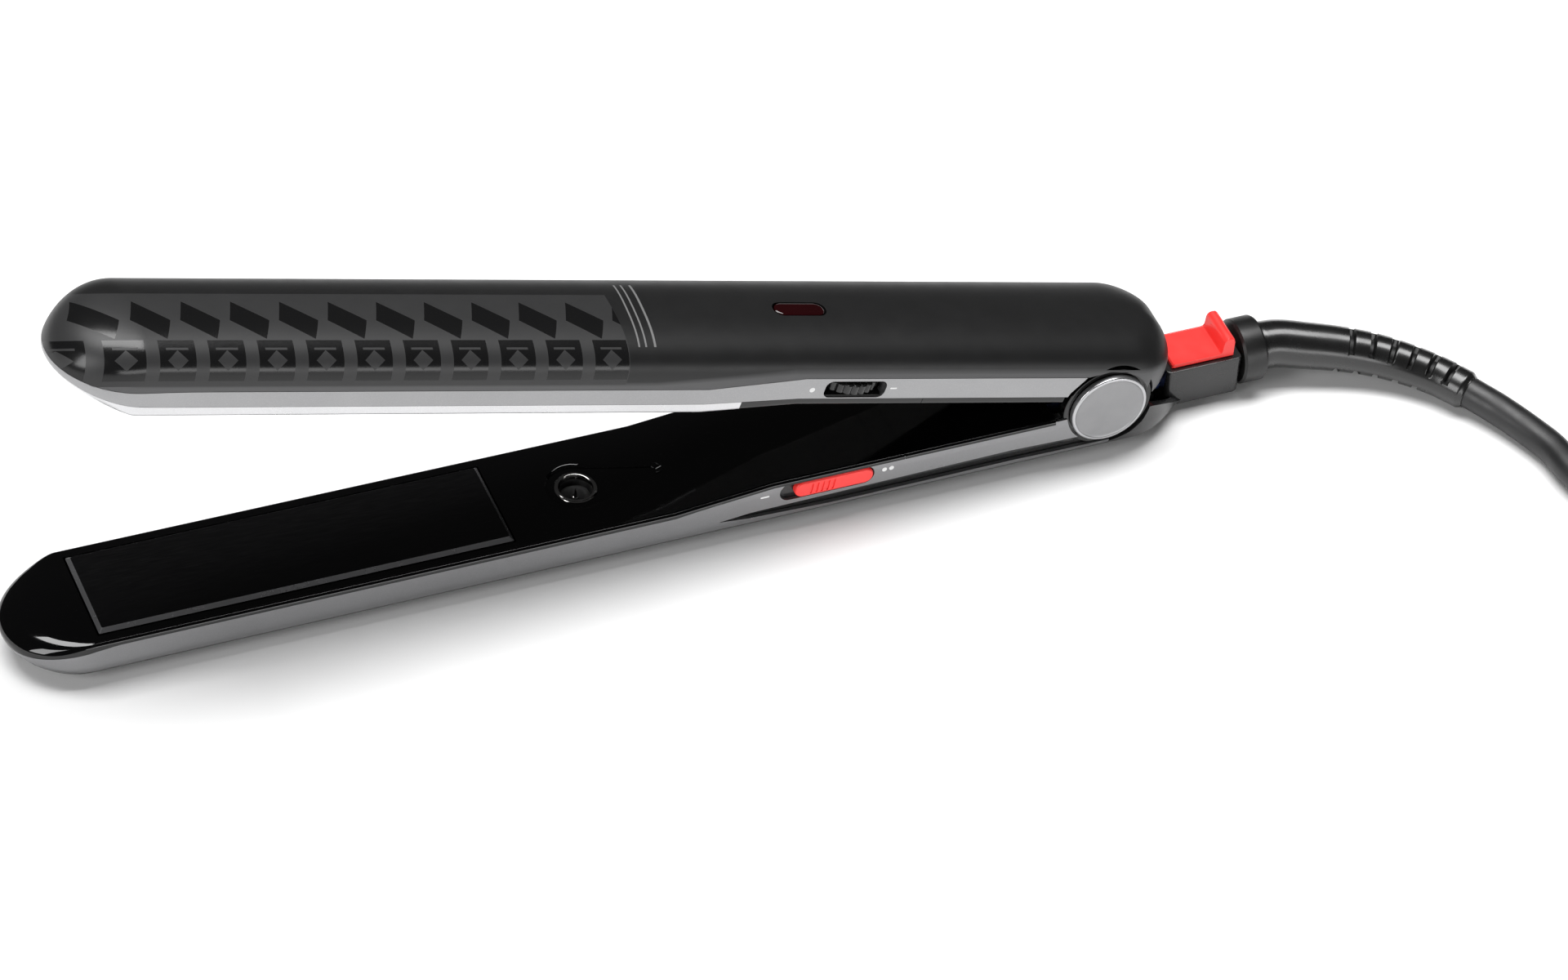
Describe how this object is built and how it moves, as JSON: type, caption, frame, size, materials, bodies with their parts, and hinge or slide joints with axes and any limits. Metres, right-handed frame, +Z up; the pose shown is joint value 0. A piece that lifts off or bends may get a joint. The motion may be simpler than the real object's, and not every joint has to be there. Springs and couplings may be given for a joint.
{
  "type": "hair straightener",
  "caption": "Flat hair straightener with two hinged arms, floating heated plates, rear lock, side power slide, thumbwheel and a mains lead on a swivel.",
  "frame": {"origin": "middle of the straightener's own box, without its lead, at the surface it lies on", "axes": "+X from the tip towards the lead, +Z up, -Y the side with the controls"},
  "size_m": [0.4775, 0.099, 0.0894],
  "materials": {
    "matt_black": "soft satin black casing plastic",
    "gloss_black": "piano black",
    "silver_trim": "satin silver paint on plastic",
    "plate_black": "polished black coating on aluminium",
    "bright_red": "satin",
    "dark_grey": "dark grey housing plastic",
    "steel": "plain",
    "cap_silver": "fine spun satin",
    "clip_aluminium": "raw",
    "brass": "turned",
    "heater_ceramic": "sintered",
    "silicone": "soft pads",
    "board": "circuit board",
    "module": "potted module",
    "wire": "heat-proof sleeving",
    "mains_wire": "insulation",
    "lens_red": "dark red clear plastic",
    "led": "moulded",
    "lead_black": "flexible sheath",
    "plug_black": "moulded",
    "pin_metal": "nickel plated"
  },
  "bodies": {
    "lower_arm": {"lower_shell": "gloss_black", "lower_band": "silver_trim", "lower_plate_cover": "gloss_black", "lower_handle_cover": "gloss_black", "lower_cushions": "silicone", "ion_nozzle": "steel", "ion_generator": "module", "control_board": "board", "power_switch": "module", "lower_leads": "wire", "mains_leads": "mains_wire", "hinge_pin": "steel", "hinge_cap_near": "cap_silver", "hinge_cap_far": "cap_silver", "hinge_spring": "steel", "rear_housing": "dark_grey", "swivel_bush": "brass", "lower_screws": "steel"},
    "upper_arm": {"upper_shell": "matt_black", "upper_band": "silver_trim", "upper_plate_cover": "gloss_black", "upper_handle_cover": "gloss_black", "upper_cushions": "silicone", "dial_potentiometer": "module", "indicator_lens": "lens_red", "indicator_led": "led", "upper_leads": "wire", "upper_screws": "steel"},
    "lower_plate_float": {"lower_plate": "plate_black", "lower_heater": "heater_ceramic", "lower_heater_clip": "clip_aluminium"},
    "upper_plate_float": {"upper_plate": "plate_black", "upper_heater": "heater_ceramic", "upper_heater_clip": "clip_aluminium"},
    "dial": {"temperature_dial": "gloss_black"},
    "power_button": {"power_slide": "bright_red"},
    "lock": {"lock_slider": "bright_red"},
    "mains_lead": {"swivel_collar": "plug_black", "swivel_clip": "steel", "strain_relief": "lead_black", "cord": "lead_black", "cord_hank": "lead_black", "hank_tie": "lead_black", "cord_tail": "lead_black", "plug_body": "plug_black", "plug_pins": "pin_metal"}
  },
  "joints": [
    {"name": "arm_hinge", "type": "hinge", "parent": "lower_arm", "child": "upper_arm", "pos_m": [0.1025, 0, 0.015], "axis": [0, 1, 0], "range_deg": [-15.25, 0], "stiffness_Nm_per_rad": 0.6, "springref_deg": 34.38},
    {"name": "lower_plate_press", "type": "slide", "parent": "lower_arm", "child": "lower_plate_float", "axis": [0, 0, -1], "range_m": [0, 0.0012], "stiffness_N_per_m": 2500, "springref_m": -0.0006, "deforming": ["lower_cushions"]},
    {"name": "upper_plate_press", "type": "slide", "parent": "upper_arm", "child": "upper_plate_float", "axis": [0.263, 0, 0.9648], "range_m": [0, 0.0012], "stiffness_N_per_m": 2500, "springref_m": -0.0006, "deforming": ["upper_cushions"]},
    {"name": "dial_turn", "type": "hinge", "parent": "upper_arm", "child": "dial", "pos_m": [0.04186, -0.0062, 0.03703], "axis": [0.263, 0, 0.9648], "range_deg": [-130, 130]},
    {"name": "power_slide_travel", "type": "slide", "parent": "lower_arm", "child": "power_button", "axis": [-1, 0, 0], "range_m": [0, 0.003]},
    {"name": "lock_travel", "type": "slide", "parent": "lower_arm", "child": "lock", "axis": [-1, 0, 0], "range_m": [0, 0.004]},
    {"name": "lead_swivel", "type": "hinge", "parent": "lower_arm", "child": "mains_lead", "pos_m": [0.139, 0, 0.0082], "axis": [1, 0, 0], "continuous": true}
  ]
}
